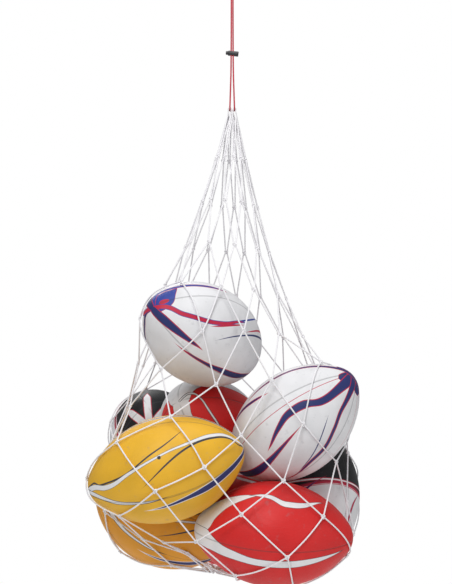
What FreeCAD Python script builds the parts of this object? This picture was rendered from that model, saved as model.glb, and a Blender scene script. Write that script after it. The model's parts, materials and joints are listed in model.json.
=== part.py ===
"""Mesh ball bag: a knotted netting bag full of rugby balls, closed by a drawcord with a cord lock.

FreeCAD 1.1 script, millimetres. +Z is up, +X to the right and +Y to the back. The origin is inside the top of
the hanging loop, where a hook bears. Each piece is written to parts/NODE.step.
"""

import FreeCAD, Part
import math
import os

Vector = FreeCAD.Vector
Rotation = FreeCAD.Rotation
Placement = FreeCAD.Placement

# Cords
TWINE_D = 2.6
CORD_D = 3.0
TOUCH = 0.05  # clearance of a twine loop round the cord it rides on

# Rugby ball: an oval of revolution, two side arcs that run into two tip arcs
BALL_LENGTH = 290.0
SIDE_R = 170.0
TIP_R = 45.0
TIP_REACH = BALL_LENGTH / 2 - TIP_R
SIDE_DROP = math.sqrt((SIDE_R - TIP_R) ** 2 - TIP_REACH**2)  # the side arc's centre lies this far past the axis
BALL_R = SIDE_R - SIDE_DROP
COVER_T = 1.8
BLADDER_T = 0.7
LAYER_GAP = 0.1
VALVE_R = 3.0
VALVE_FIT = 0.2
VALVE_LENGTH = 10.0
VALVE_SINK = 0.3
FLANGE_R = 7.0
FLANGE_T = 1.2

# name: (centre, direction of the long axis, side that the valve faces)
BALLS = {
    "top_ball": ((-55, -97, -760), (-0.62, -0.70, 0.35), (0.3, 0.2, 1)),
    "middle_ball": ((-41, 28, -950), (-0.41, -0.80, 0.44), (0, 0.5, -1)),
    "rear_left_ball": ((-160, 203, -990), (-0.07, -0.82, 0.56), (1, 0, -0.3)),
    "front_left_ball": ((-120, -192, -1000), (0.96, 0, 0.26), (-0.1, -1, 0.35)),
    "right_ball": ((115, -122, -924), (0.72, -0.31, 0.62), (0.2, 1, 0.3)),
    "front_right_ball": ((75, -167, -1121), (1, 0, -0.06), (0, 0.7, 1)),
    "lower_left_ball": ((-130, -27, -1115), (0.84, 0.38, -0.38), (0, 1, 0.5)),
    "lower_right_ball": ((155, 18, -1080), (0.04, 0.32, 0.95), (-1, 0, 0)),
    "rear_right_ball": ((101, 209, -984), (0.49, -0.63, 0.59), (0.6, 0.7, 0)),
    "rear_bottom_ball": ((-1, 152, -1151), (0.98, -0.15, -0.12), (0, 0.9, 0.3)),
}

# Hanging loop, top knot and drawcord
LOOP_TOP = (8.0, CORD_D / 2)  # half width and height of the loop where it goes over the hook
STRAND_X = 1.6  # the two strands lie side by side
KNOT_R = 6.8
KNOT_Z = -78.5
TWIST_GAP = 0.4
SWING_GAP = 0.8
LOOP_FOOT_Z = KNOT_Z + KNOT_R + TWIST_GAP
STRAND_TOP_Z = KNOT_Z - KNOT_R - SWING_GAP
STRANDS_PART_Z = -232.0

# Mouth: the drawcord makes a narrow ring that the top meshes ride on, half of them along each side
COLUMNS = 12
PER_SIDE = COLUMNS // 2
MOUTH_Z = -325.0
MOUTH_HALF_WIDTH = 4.5
MOUTH_PITCH = 2.9
MOUTH_HALF_LENGTH = MOUTH_PITCH * PER_SIDE / 2 + 5.5
MOUTH_BEND_R = 4.2
MOUTH_NECK = 7.0  # how far a mesh's two legs run side by side below the drawcord

# Bottom: a small round ring of twine that the lowest meshes are gathered on
GATHER = Vector(-33, -12, -1220)
GATHER_R = 9.0
GATHER_NECK = 7.0

# Net
ROWS = 12
SLACK_BAR = 80.0  # length of a mesh bar with no load
BAG_AXIS_Y = 3.0
TWINE_CLEAR = TWINE_D / 2 + 2.1  # from a ball's surface to a bar's bends, whose straight runs pass closer
NET_KNOT_R = 3.7
KNOT_CLEAR = NET_KNOT_R + 1.3
LEG_SIDE = 1.65  # the four bars leave a knot this far beside and above or below its middle
LEG_RISE = 1.6
STRAIGHT_ENOUGH = 0.35

# Knots that friction holds on the balls: (row, column): (x, z)
HELD_KNOTS = {
    (5, 11): (-55, -750),
    (5, 0): (20, -750),
    (6, 11): (-130, -820),
    (6, 0): (-30, -845),
    (6, 1): (70, -840),
    (7, 11): (-110, -900),
    (7, 0): (15, -935),
    (7, 1): (125, -915),
    (8, 11): (-205, -945),
    (8, 0): (-50, -985),
    (8, 1): (90, -1015),
    (9, 11): (-135, -1025),
    (9, 0): (15, -1070),
    (9, 1): (160, -1080),
    (10, 11): (-200, -1075),
    (10, 0): (-65, -1120),
    (10, 1): (95, -1145),
    (11, 11): (-125, -1135),
    (11, 10): (-165, -1135),
    (12, 11): (-85, -1170),
    (12, 10): (-115, -1195),
    (11, 0): (5, -1185),
}

# Cord lock, along its own x, with its middle where the strands cross
LOCK_Z = -215.0
LOCK_TILT = 6.0
BARREL_D = 10.0
BARREL_X = (-8.0, 12.4)
BORE_D = 7.4
BORE_END = 11.0
BARREL_HOLE_X = (-3.9, 5.4)
HOLE_WIDTH = 3.6
PLUNGER_D = 7.2
PLUNGER_X = (-12.5, 5.2)
PLUNGER_HOLE_X = (-7.1, 3.7)
SPRING_D = 5.6
SPRING_WIRE = 0.5
SPRING_TURNS = 3.5
SPRING_END_GAP = 0.1


# ---------------------------------------------------------------- shapes


def rounded_path(points, largest=None):
    """Straight runs joined by tangent arcs, each as large as its two runs allow."""
    edges = []
    start = points[0]
    for before, corner, after in zip(points, points[1:], points[2:]):
        back = (before - corner).normalize()
        ahead = (after - corner).normalize()
        half_turn = (math.pi - back.getAngle(ahead)) / 2
        run = min((before - corner).Length, (after - corner).Length)
        radius = 0.45 * run / math.tan(half_turn)
        if largest:
            radius = min(radius, largest)
        setback = radius * math.tan(half_turn)
        inward = (back + ahead).normalize() * (radius / math.cos(half_turn) - radius)
        leave = corner + back * setback
        arrive = corner + ahead * setback
        edges.append(Part.LineSegment(start, leave).toShape())
        edges.append(Part.Arc(leave, corner + inward, arrive).toShape())
        start = arrive
    edges.append(Part.LineSegment(start, points[-1]).toShape())
    return Part.Wire(edges)


def sweep(path, start, direction, diameter):
    """A round solid along a path, checked against its section times its length."""
    circle = Part.Circle(start, direction, diameter / 2).toShape()
    solid = path.makePipeShell([Part.Wire(circle)], True, False)
    expected = math.pi * diameter**2 / 4 * path.Length
    if not solid.isValid() or abs(solid.Volume - expected) > 0.01 * expected:
        raise ValueError(f"tube volume {solid.Volume:.1f}, expected {expected:.1f}")
    return solid


def tube(points, diameter, largest=None):
    return sweep(rounded_path(points, largest), points[0], points[1] - points[0], diameter)


def bend_radii(points, largest=None):
    path = rounded_path(points, largest)
    return [round(edge.Curve.Radius, 1) for edge in path.Edges if isinstance(edge.Curve, Part.Circle)]


def rod(x_from, x_to, diameter):
    return Part.makeCylinder(diameter / 2, x_to - x_from, Vector(x_from, 0, 0), Vector(1, 0, 0))


def slot_through(x_range, width):
    """A round-ended slot, long in x, cut right through along z."""
    radius = width / 2
    low, high = x_range[0] + radius, x_range[1] - radius
    reach = BARREL_D
    ends = [Part.makeCylinder(radius, 2 * reach, Vector(x, 0, -reach)) for x in (low, high)]
    middle = Part.makeBox(high - low, width, 2 * reach, Vector(low, -radius, -reach))
    return middle.fuse(ends).removeSplitter()


# ---------------------------------------------------------------- balls


class Ball:
    def __init__(self, centre, axis, valve):
        self.centre = Vector(*centre)
        self.axis = Vector(*axis).normalize()
        rotation = Rotation(self.axis, Vector(), Vector(*valve), "XZY")
        self.placement = Placement(self.centre, rotation)

    def gap(self, point):
        """Distance from the surface, and the outward direction."""
        offset = point - self.centre
        along = offset.dot(self.axis)
        radial = offset - self.axis * along
        out = max(radial.Length, 1e-6)
        side = self.axis * math.copysign(1, along)
        along = abs(along)
        if along * SIDE_DROP < (out + SIDE_DROP) * TIP_REACH:
            reach = math.hypot(along, out + SIDE_DROP)
            return reach - SIDE_R, side * (along / reach) + radial * ((out + SIDE_DROP) / reach / out)
        reach = math.hypot(along - TIP_REACH, out)
        return reach - TIP_R, side * ((along - TIP_REACH) / reach) + radial * (1 / reach)


def oval(inset):
    """Solid of the ball's shape, with its surface moved inward by inset, long axis along x.

    It is made of four quarters, one to each of the ball's panels, that meet half-way between the axes y and z.
    """
    side_r = SIDE_R - inset
    tip_r = TIP_R - inset
    slope = (TIP_REACH / (SIDE_R - TIP_R), SIDE_DROP / (SIDE_R - TIP_R))
    join = (TIP_REACH + tip_r * slope[0], tip_r * slope[1])
    middle_angle = math.atan2(slope[1], slope[0]) / 2
    tip_middle = (TIP_REACH + tip_r * math.cos(middle_angle), tip_r * math.sin(middle_angle))
    left_tip, right_tip = Vector(-TIP_REACH - tip_r, 0, 0), Vector(TIP_REACH + tip_r, 0, 0)
    left_join, right_join = Vector(-join[0], 0, join[1]), Vector(join[0], 0, join[1])
    outline = [
        Part.Arc(left_tip, Vector(-tip_middle[0], 0, tip_middle[1]), left_join),
        Part.Arc(left_join, Vector(0, 0, side_r - SIDE_DROP), right_join),
        Part.Arc(right_join, Vector(tip_middle[0], 0, tip_middle[1]), right_tip),
        Part.LineSegment(right_tip, left_tip),
    ]
    x_axis = Vector(1, 0, 0)
    face = Part.Face(Part.Wire([curve.toShape() for curve in outline]))
    quarters = []
    for start in (45, 135, 225, 315):
        turned = face.copy()
        turned.rotate(Vector(), x_axis, start)
        quarters.append(turned.revolve(Vector(), x_axis, 90))
    return quarters[0].fuse(quarters[1:])


def ball_cover():
    hole = Part.makeCylinder(VALVE_R + VALVE_FIT, BALL_R)
    return oval(0).cut(oval(COVER_T)).cut(hole)


def ball_bladder():
    outer = COVER_T + LAYER_GAP
    hole = Part.makeCylinder(VALVE_R + VALVE_FIT / 2, BALL_R)
    return oval(outer).cut(oval(outer + BLADDER_T)).cut(hole)


def ball_valve():
    """A rubber stem through cover and bladder, with a flange inside the bladder and a blind needle hole."""
    top = BALL_R - VALVE_SINK
    stem = Part.makeCylinder(VALVE_R, VALVE_LENGTH, Vector(0, 0, top - VALVE_LENGTH))
    flange_top = BALL_R - COVER_T - LAYER_GAP - BLADDER_T - FLANGE_R**2 / 2 / (BALL_R - COVER_T) - LAYER_GAP
    flange = Part.makeCylinder(FLANGE_R, FLANGE_T, Vector(0, 0, flange_top - FLANGE_T))
    needle = Part.makeCylinder(0.8, VALVE_LENGTH - 1.5, Vector(0, 0, top - VALVE_LENGTH + 1.5))
    return stem.fuse(flange).removeSplitter().cut(needle)


# ---------------------------------------------------------------- net


def turn_of(row, column):
    """Angle round the bag in radians. Column 0 is at the front, and odd rows lie half a column on."""
    return math.radians((column + 0.5 * (row % 2)) * 360 / COLUMNS - 90)


def net_links():
    """Every mesh bar as (upper knot, lower knot). Rows 0 and ROWS + 1 are the loops on the two rings."""
    links = []
    for row in range(ROWS + 1):
        for column in range(COLUMNS):
            beside = (column + 1) % COLUMNS if row % 2 else (column - 1) % COLUMNS
            links.append(((row, column), (row + 1, column)))
            links.append(((row, column), (row + 1, beside)))
    return links


def mouth_necks(column):
    """A top mesh's points over the drawcord, from its inner leg to its outer leg, and the inner leg's knot."""
    right = column < PER_SIDE
    side = 1 if right else -1
    place = column if right else COLUMNS - 1 - column
    back = (place - (PER_SIDE - 1) / 2) * MOUTH_PITCH
    reach = (CORD_D + TWINE_D) / 2 + TOUCH
    inner, outer = MOUTH_HALF_WIDTH - reach, MOUTH_HALF_WIDTH + reach
    low, high = MOUTH_Z - MOUTH_NECK, MOUTH_Z + reach
    points = [Vector(side * x, back, z) for x, z in ((inner, low), (inner, high), (outer, high), (outer, low))]
    beside = (column - 1) % COLUMNS if side * back < 0 else column
    return points, (1, beside)


def gather_necks(column):
    """A bottom mesh's points round the gather ring, from its upper leg to its lower leg."""
    turn = turn_of(ROWS + 1, column)
    out = Vector(math.cos(turn), math.sin(turn), 0)
    reach = TWINE_D + TOUCH
    past, behind = GATHER_R + GATHER_NECK, GATHER_R - reach
    section = ((past, reach), (behind, reach), (behind, -reach), (past, -reach))
    return [GATHER + out * r + Vector(0, 0, z) for r, z in section]


def leg_end(link):
    """Where a bar ends at the mouth or at the gather ring, or None for a bar between two knots."""
    (row, column), (_, lower_column) = link
    if row == 0:
        points, inner_knot = mouth_necks(column)
        return points[0] if link[1] == inner_knot else points[-1]
    if row == ROWS:
        points = gather_necks(lower_column)
        return points[0] if column == lower_column else points[-1]
    return None


def first_guess(row, column):
    """A wide round bag that the net then draws in from."""
    share = row / (ROWS + 1)
    turn = turn_of(row, column)
    radius = 60 + 330 * min(1, share / 0.45) if share < 0.8 else 390 * (1 - (share - 0.8) / 0.25)
    height = MOUTH_Z + (GATHER.z - 30 - MOUTH_Z) * min(1, share * 1.12)
    return Vector(radius * math.cos(turn), BAG_AXIS_Y + radius * math.sin(turn), height)


def first_line(link):
    upper, lower = [first_guess(*knot) for knot in link]
    if link[0][0] == 0:
        upper = leg_end(link)
    if link[0][0] == ROWS:
        lower = leg_end(link)
    return [upper, lower]


def divided(line, pieces):
    """Points that divide a polyline's legs evenly by number."""
    points = []
    for n in range(pieces + 1):
        place = n / pieces * (len(line) - 1)
        leg = min(int(place), len(line) - 2)
        points.append(line[leg] + (line[leg + 1] - line[leg]) * (place - leg))
    return points


def is_ring(knot):
    return knot[0] in (0, ROWS + 1)


def relax(lines, pieces, rounds, balls):
    """Draws the net tight over the balls. lines maps each link to its points, first and last on its knots."""
    points, at_knot, chains = [], {}, {}
    for link, line in lines.items():
        inner = divided(line, pieces)
        keys = [(link, knot) if is_ring(knot) else knot for knot in link]
        for key, place in zip(keys, (inner[0], inner[-1])):
            if key not in at_knot:
                at_knot[key] = len(points)
                points.append(place)
        first = len(points)
        points.extend(inner[1:-1])
        chains[link] = [at_knot[keys[0]], *range(first, len(points)), at_knot[keys[1]]]
    knots = {index for key, index in at_knot.items() if isinstance(key[0], int)}
    fixed = set(at_knot.values()) - knots
    held = {at_knot[knot]: place for knot, place in HELD_KNOTS.items()}
    movable = [
        (n, 0.22 if n in knots else 0.45, KNOT_CLEAR if n in knots else TWINE_CLEAR)
        for n in range(len(points))
        if n not in fixed
    ]
    springs = [(a, b) for chain in chains.values() for a, b in zip(chain, chain[1:])]
    slack = SLACK_BAR / pieces
    reach = BALL_LENGTH / 2 + KNOT_CLEAR
    for _ in range(rounds):
        pull = [Vector() for _ in points]
        for a, b in springs:
            stretch = points[b] - points[a]
            length = stretch.Length
            if length > slack:
                stretch = stretch * ((length - slack) / length)
                pull[a] += stretch
                pull[b] -= stretch
        for n, step, clear in movable:
            point = points[n] + pull[n] * step
            if n in held:
                point.x, point.z = held[n]
            points[n] = pushed_off(point, clear, reach, balls)
    return {link: [points[n] for n in chain] for link, chain in chains.items()}


def pushed_off(point, clear, reach, balls):
    for ball in balls:
        if point.distanceToPoint(ball.centre) < reach:
            gap, outward = ball.gap(point)
            if gap < clear:
                point = point + outward * (clear - gap)
    return point


def shaped_net(balls):
    lines = {link: first_line(link) for link in net_links()}
    lines = relax(lines, 2, 900, balls)
    return relax(lines, 5, 260, balls)


def without_straights(line):
    """Drops the points that lie within STRAIGHT_ENOUGH of the chord past them."""
    if len(line) < 3:
        return line
    chord = (line[-1] - line[0]).normalize()
    off = [((point - line[0]) - chord * (point - line[0]).dot(chord)).Length for point in line]
    worst = off.index(max(off))
    if off[worst] < STRAIGHT_ENOUGH:
        return [line[0], line[-1]]
    return without_straights(line[: worst + 1])[:-1] + without_straights(line[worst:])


def outward_at(point, balls):
    """The direction away from the nearest ball, or from the bag's axis where no ball is close."""
    gap, outward = min((ball.gap(point) for ball in balls), key=lambda pair: pair[0])
    if gap < 4 * KNOT_CLEAR:
        return outward.normalize()
    return Vector(point.x, point.y - BAG_AXIS_Y, 0).normalize()


def leg_starts(lines, balls):
    """Where each bar leaves its knots: beside the knot's middle, on the side that the bar heads for."""
    legs_at = {}
    for link, line in lines.items():
        for knot, middle, heading in ((link[0], line[0], line[2]), (link[1], line[-1], line[-3])):
            if not is_ring(knot):
                legs_at.setdefault(knot, []).append((link, middle, heading - middle))
    starts = {}
    for knot, legs in legs_at.items():
        middle = legs[0][1]
        above = [(heading, link) for link, _, heading in legs if link[1] == knot]
        below = [(heading, link) for link, _, heading in legs if link[0] == knot]
        up = above[0][0] + above[1][0] - below[0][0] - below[1][0]
        side = outward_at(middle, balls).cross(up).normalize()
        up.normalize()
        for pair, rise in ((above, LEG_RISE), (below, -LEG_RISE)):
            pair.sort(key=lambda leg: leg[0].dot(side))
            for (_, link), sign in zip(pair, (-1, 1)):
                starts[knot, link] = middle + side * (sign * LEG_SIDE) + up * rise
    return starts


def bar(link, lines, starts):
    """A bar's points between its two knots, or from its knot to its ring, eased over to where it leaves them."""
    line = lines[link]
    upper_shift = starts.get((link[0], link), line[0]) - line[0]
    lower_shift = starts.get((link[1], link), line[-1]) - line[-1]
    last = len(line) - 1
    eased = [p + upper_shift * (1 - n / last) + lower_shift * (n / last) for n, p in enumerate(line)]
    return without_straights(eased)


def mouth_mesh(column, lines, starts):
    """A top mesh: up from one knot, over the drawcord, and down to the next knot."""
    over, inner_knot = mouth_necks(column)
    links = [link for link in lines if link[0] == (0, column)]
    links.sort(key=lambda link: link[1] != inner_knot)
    inner, outer = [bar(link, lines, starts) for link in links]
    return tube([*reversed(inner[1:]), *over, *outer[1:]], TWINE_D)


def bottom_mesh(column, lines, starts):
    """A bottom mesh: in from one knot, round the gather ring, and out to the next knot."""
    links = [link for link in lines if link[1] == (ROWS + 1, column)]
    links.sort(key=lambda link: link[0][1] != column)
    upper, lower = [bar(link, lines, starts) for link in links]
    return tube([*upper[:-1], *gather_necks(column), *reversed(lower[:-1])], TWINE_D)


def net_knots(lines):
    places = {link[1]: line[-1] for link, line in lines.items() if not is_ring(link[1])}
    return Part.makeCompound([Part.makeSphere(NET_KNOT_R, place) for place in places.values()])


def gather_ring():
    return Part.makeTorus(GATHER_R, TWINE_D / 2, GATHER)


def net_nodes(balls):
    lines = shaped_net(balls)
    lengths = [sum((b - a).Length for a, b in zip(line, line[1:])) for line in lines.values()]
    print(f"mesh bars: {min(lengths):.0f} to {max(lengths):.0f} mm, mean {sum(lengths) / len(lengths):.0f} mm")
    starts = leg_starts(lines, balls)
    columns = range(COLUMNS)
    nodes = {"mouth_meshes": Part.makeCompound([mouth_mesh(n, lines, starts) for n in columns])}
    for row in range(1, ROWS):
        bars = [tube(bar(link, lines, starts), TWINE_D) for link in lines if link[0][0] == row]
        nodes[f"net_course_{row:02d}"] = Part.makeCompound(bars)
    nodes["bottom_meshes"] = Part.makeCompound([bottom_mesh(n, lines, starts) for n in columns])
    nodes["net_knots"] = net_knots(lines)
    nodes["gather_ring"] = gather_ring()
    return nodes


# ---------------------------------------------------------------- drawcord, hanging loop and cord lock

LOOP_ROUTE = [
    Vector(-STRAND_X, 0, LOOP_FOOT_Z),
    Vector(-LOOP_TOP[0], 0, LOOP_TOP[1]),
    Vector(LOOP_TOP[0], 0, LOOP_TOP[1]),
    Vector(STRAND_X, 0, LOOP_FOOT_Z),
]

DRAWCORD_ROUTE = [
    Vector(-STRAND_X, 0, STRAND_TOP_Z),
    Vector(-STRAND_X, 0, STRANDS_PART_Z),
    Vector(-MOUTH_HALF_WIDTH, -MOUTH_HALF_LENGTH, MOUTH_Z),
    Vector(-MOUTH_HALF_WIDTH, MOUTH_HALF_LENGTH, MOUTH_Z),
    Vector(MOUTH_HALF_WIDTH, MOUTH_HALF_LENGTH, MOUTH_Z),
    Vector(MOUTH_HALF_WIDTH, -MOUTH_HALF_LENGTH, MOUTH_Z),
    Vector(STRAND_X, 0, STRANDS_PART_Z),
    Vector(STRAND_X, 0, STRAND_TOP_Z),
]


def top_knot():
    return Part.makeSphere(KNOT_R, Vector(0, 0, KNOT_Z))


def drawcord():
    print("drawcord bends, radius in mm:", bend_radii(DRAWCORD_ROUTE, MOUTH_BEND_R))
    return tube(DRAWCORD_ROUTE, CORD_D, MOUTH_BEND_R)


def hanging_loop():
    print("hanging loop bends, radius in mm:", bend_radii(LOOP_ROUTE))
    return tube(LOOP_ROUTE, CORD_D)


def lock_placement():
    return Placement(Vector(0, 0, LOCK_Z), Rotation(Vector(0, 1, 0), LOCK_TILT))


def lock_barrel():
    body = rod(*BARREL_X, BARREL_D)
    body = body.makeFillet(1.2, [e for e in body.Edges if isinstance(e.Curve, Part.Circle)])
    bore = rod(BARREL_X[0] - 1, BORE_END, BORE_D)
    return body.cut(bore).cut(slot_through(BARREL_HOLE_X, HOLE_WIDTH))


def lock_plunger():
    body = rod(*PLUNGER_X, PLUNGER_D)
    button = [e for e in body.Edges if isinstance(e.Curve, Part.Circle) and e.Curve.Center.x < 0]
    return body.makeFillet(1.5, button).cut(slot_through(PLUNGER_HOLE_X, HOLE_WIDTH))


def lock_spring():
    """A compression spring between the plunger's end and the blind end of the bore."""
    coil_r = (SPRING_D - SPRING_WIRE) / 2
    low = PLUNGER_X[1] + SPRING_WIRE / 2 + SPRING_END_GAP
    height = BORE_END - PLUNGER_X[1] - SPRING_WIRE - 2 * SPRING_END_GAP
    helix = Part.makeHelix(height / SPRING_TURNS, height, coil_r)
    start = Vector(coil_r, 0, 0)
    climb = Vector(0, 2 * math.pi * coil_r, height / SPRING_TURNS)
    circle = Part.Circle(start, climb, SPRING_WIRE / 2).toShape()
    coil = Part.Wire(helix.Edges).makePipeShell([Part.Wire(circle)], True, True)
    coil.Placement = Placement(Vector(low, 0, 0), Rotation(Vector(0, 1, 0), 90))
    return coil


# ---------------------------------------------------------------- assembly


def ball_nodes(balls):
    layers = {"cover": ball_cover(), "bladder": ball_bladder(), "valve": ball_valve()}
    return {
        f"{name}_{layer}": shape.transformed(ball.placement.toMatrix())
        for name, ball in balls.items()
        for layer, shape in layers.items()
    }


def lock_nodes():
    pieces = {"lock_barrel": lock_barrel(), "lock_plunger": lock_plunger(), "lock_spring": lock_spring()}
    matrix = lock_placement().toMatrix()
    return {name: shape.transformed(matrix) for name, shape in pieces.items()}


def main():
    os.makedirs("parts", exist_ok=True)
    balls = {name: Ball(*pose) for name, pose in BALLS.items()}
    nodes = {"hanging_loop": hanging_loop(), "top_knot": top_knot(), "drawcord": drawcord()}
    nodes.update(lock_nodes())
    nodes.update(net_nodes(list(balls.values())))
    nodes.update(ball_nodes(balls))
    for name, shape in nodes.items():
        if not shape.isValid():
            raise ValueError(f"{name} is not a valid shape")
        shape.exportStep(f"parts/{name}.step")
        box = shape.BoundBox
        print(f"{name:28s} {len(shape.Solids):4d} solids, z {box.ZMin:8.1f} to {box.ZMax:8.1f}")


main()
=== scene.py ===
"""Mesh ball bag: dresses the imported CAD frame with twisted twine, knots, braided cord and rugby balls.

Metres, in the CAD's frame: the origin is inside the top of the hanging loop, +Z is up and +Y is to the back.
"""

import json
import math

import bpy
import numpy as np
from mathutils import Matrix, Vector


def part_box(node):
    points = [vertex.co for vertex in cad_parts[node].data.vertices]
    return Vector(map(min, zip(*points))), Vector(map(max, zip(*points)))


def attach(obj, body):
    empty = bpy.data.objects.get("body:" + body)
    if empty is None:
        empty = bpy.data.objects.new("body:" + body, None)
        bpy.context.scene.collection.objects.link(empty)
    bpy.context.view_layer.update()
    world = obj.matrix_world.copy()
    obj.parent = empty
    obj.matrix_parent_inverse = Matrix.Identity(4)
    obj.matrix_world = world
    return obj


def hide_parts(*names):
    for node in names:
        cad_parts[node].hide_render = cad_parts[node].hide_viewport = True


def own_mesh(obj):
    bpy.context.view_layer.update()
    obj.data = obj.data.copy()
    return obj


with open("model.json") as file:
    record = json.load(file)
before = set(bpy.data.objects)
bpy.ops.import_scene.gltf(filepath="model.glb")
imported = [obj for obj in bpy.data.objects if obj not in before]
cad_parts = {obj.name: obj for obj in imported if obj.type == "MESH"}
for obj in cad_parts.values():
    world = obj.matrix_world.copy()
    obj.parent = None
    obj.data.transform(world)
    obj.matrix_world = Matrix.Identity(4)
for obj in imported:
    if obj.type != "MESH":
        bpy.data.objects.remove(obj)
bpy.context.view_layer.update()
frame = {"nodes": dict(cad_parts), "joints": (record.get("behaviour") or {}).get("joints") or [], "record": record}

MM = 0.001

# Camera and stage
CAMERA = (-0.012, -2.6, -0.68)
LENS = 106.2
SENSOR = 36.0
FLOOR_Z = -1.85
FLOOR_RADIUS = 2.6
ROOM_LIGHT = 0.34  # strength of the white room's light on the object

# Cords and twine
CORD_D = 3.0 * MM
TWINE_D = 2.6 * MM
TWINE_R = 1.45 * MM  # to the crests of the twine's three strands
TWINE_STEP = 1.6 * MM
TWINE_LAY = 11.0 * MM  # length of one turn of the twisted twine
SMOOTHING = 7.0 * MM
TIGHT_STEP = 0.8 * MM  # for the small loops at the mouth and the bottom
CORD_STEP = 0.6 * MM
SAME_RING = 0.15 * MM  # corners of a CAD tube whose middles are this close belong to one ring of it
NEAR_BALL = 20.0 * MM  # a knot nearer a ball than this faces away from the ball

# Knots: size and thickness scale the overhand curve, and stretch lengthens it
KNOT_STRAND_R = 1.35 * MM
NET_KNOT_SIZE = 1.12 * MM
NET_KNOT_STRETCH = 1.2
NET_KNOT_THICKNESS = 1.3 * MM
NET_KNOT_LAY = 8.0 * MM
TOP_KNOT_SIZE = 1.6 * MM
TOP_KNOT_STRETCH = 1.06
TOP_KNOT_THICKNESS = 2.4 * MM
TOP_KNOT_SHIFT = 0.9 * MM  # each strand of the pair lies this far to its side of the knot's middle

NET_NODES = ["mouth_meshes", *[f"net_course_{n:02d}" for n in range(1, 12)], "bottom_meshes"]

# The cords' routes, as the CAD has them, with points added near the ends of long runs
LOOP_ROUTE = [
    (-1.6, 0, -71.3),
    (-6.4, 0, -16.4),
    (-8, 0, 1.5),
    (8, 0, 1.5),
    (6.4, 0, -16.4),
    (1.6, 0, -71.3),
]
DRAWCORD_ROUTE = [
    (-1.6, 0, -86.1),
    (-1.6, 0, -232),
    (-3.6, -9.9, -297),
    (-4.5, -14.2, -325),
    (-4.5, 5.2, -325),
    (-4.5, 14.2, -325),
    (4.5, 14.2, -325),
    (4.5, 5.2, -325),
    (4.5, -14.2, -325),
    (3.6, -9.9, -297),
    (1.6, 0, -232),
    (1.6, 0, -86.1),
]
KNOT_CENTRE = Vector((0, 0, -78.5 * MM))

# Cord lock's spring, along the lock's own x axis, from the plunger's end to the blind end of the bore
LOCK_CENTRE = Vector((0, 0, -215.0 * MM))
LOCK_TILT = math.radians(6)
SPRING_X = (5.3 * MM, 10.9 * MM)
SPRING_D = 5.6 * MM
SPRING_WIRE = 0.5 * MM
SPRING_TURNS = 3.5
SPRING_STEPS = 98

# Balls: an oval of revolution, two side arcs that run into two tip arcs
BALL_HALF = 145.0 * MM
BALL_R = 95.0 * MM
SIDE_R = 170.0 * MM
TIP_R = 45.0 * MM
TIP_REACH = 100.0 * MM
SIDE_DROP = 75.0 * MM
BALL_RINGS = 108
SEAM_STEPS = (0, 0.4, 0.8, 1.2, 1.7, 2.5, 4)  # degrees either side of a seam
PANEL_STEPS = 10
SEAM_DEPTH = 0.75 * MM
SEAM_WIDTH = 1.2 * MM
SEAM_SHADE = 0.45
SEAM_START_R = 4.0 * MM  # seams begin where the ball is this far round its axis
SEAM_FADE_RUN = 14.0 * MM  # and reach their full depth this much further out
PANEL_RISE = 0.25 * MM  # panels stand this proud between the seams
PANEL_RISE_RUN = 12.0 * MM
PIMPLE_PITCH = 3.0 * MM
VALVE_HOLE_R = 3.2 * MM

# Colours, linear
WHITE = (0.79, 0.79, 0.81)
GOLD = (0.83, 0.46, 0.03)
# The golden balls' gold, darker and redder as painted shade, for the lower ball that lies in the shade of the ball
# above it
GOLD_PAINTED_SHADE = (0.80, 0.34, 0.022)
RED = (0.68, 0.022, 0.022)
NAVY = (0.022, 0.032, 0.14)
BLUE = (0.030, 0.055, 0.30)
CRIMSON = (0.50, 0.018, 0.055)
BLACK = (0.012, 0.012, 0.014)
CHARCOAL = (0.05, 0.052, 0.06)
GREY = (0.20, 0.21, 0.23)

# Printed bands on the balls. Each is (colour, edge colour, edge width in mm, times round the ball, points),
# painted in order, and a point is (place along the axis from -1 to 1, angle in degrees, half width in mm).
# The angle is 0 at the front of the ball as it hangs and grows upward or leftward.
GOLDEN_BANDS = [
    (CHARCOAL, CHARCOAL, 0, 2, [
        (-1, 20, 1), (-0.9, 22, 1.5), (-0.8, 10, 1.6), (-0.5, 12, 1.6), (-0.15, 24, 1.6),
        (0.2, 38, 1.2), (0.48, 60, -1),
    ]),
    (CHARCOAL, CHARCOAL, 0, 2, [
        (-0.42, -14, -1), (-0.1, 3, 1.2), (0.1, 13, 1.8), (0.37, 25, 2), (0.67, 36, 1.8),
        (0.86, 42, 1.6), (0.96, 25, 1.4),
    ]),
    (WHITE, CHARCOAL, 0.7, 2, [
        (-1, 6, 4), (-0.92, 10, 4.4), (-0.75, 3, 4.2), (-0.4, 13, 2.6), (0.1, 24, 1.6), (0.42, 31, 2.4),
        (0.67, 41, 3.2), (0.86, 49, 3), (0.97, 42, 2.4),
    ]),
    (WHITE, CHARCOAL, 1.2, 2, [
        (-0.98, -8, 4), (-0.8, -20, 3.4), (-0.55, -25, 2.2), (-0.3, -25, 1.4), (0, -23, -1),
    ]),
    (NAVY, WHITE, 1.3, 2, [
        (-0.42, -38, -2), (-0.1, -35, 1.5), (0.2, -32, 3.6), (0.5, -31, 6), (0.7, -30, 5.5),
        (0.9, -28, 4.5), (1, -25, 3),
    ]),
    (NAVY, WHITE, 1.6, 2, [
        (-0.9, 80, -2), (-0.45, 86, 2), (0.1, 82, 2.6), (0.6, 86, 3.4), (0.9, 83, 3), (1, 80, 2),
    ]),
]
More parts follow.
